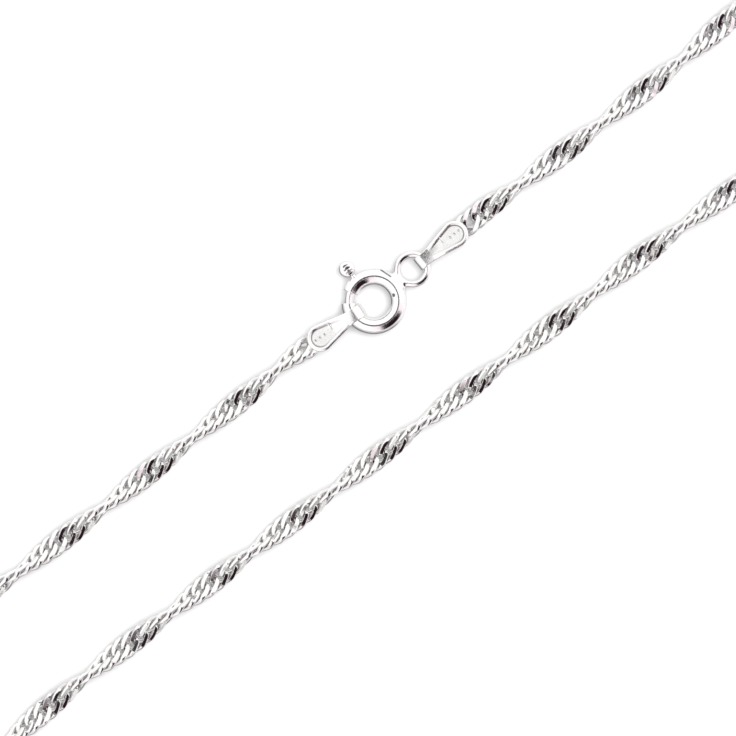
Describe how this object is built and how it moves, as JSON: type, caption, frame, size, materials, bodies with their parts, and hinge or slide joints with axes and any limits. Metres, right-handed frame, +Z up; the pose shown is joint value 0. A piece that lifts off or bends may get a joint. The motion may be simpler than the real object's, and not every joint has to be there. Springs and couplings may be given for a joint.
{
  "type": "singapore chain necklace",
  "caption": "Closed necklace of twisted double curb chain, lying flat, with a spring ring clasp, a closed eye ring and two drop-shaped end tags.",
  "frame": {"origin": "on the surface that the necklace lies on, under the middle of the whole loop", "axes": "+X along the two long runs of chain, from the spring ring towards its eye ring; +Y from the plain run towards the run with the clasp; +Z up"},
  "size_m": [0.2172, 0.0272, 0.0022],
  "materials": {
    "chain_silver": "polished",
    "clasp_silver": "polished",
    "bolt_silver": "polished",
    "tag_silver": "satin"
  },
  "bodies": {
    "necklace": {"chain": "chain_silver", "spring_ring": "clasp_silver", "clasp_tag": "tag_silver", "eye_tag": "tag_silver"},
    "bolt": {"ring_bolt": "bolt_silver"}
  },
  "joints": [
    {"name": "bolt_lever", "type": "hinge", "parent": "necklace", "child": "bolt", "pos_m": [0.0042, 0.0058, 0.0011], "axis": [0, 0, 1], "range_deg": [-36, 0], "stiffness_Nm_per_rad": 0.0025}
  ]
}
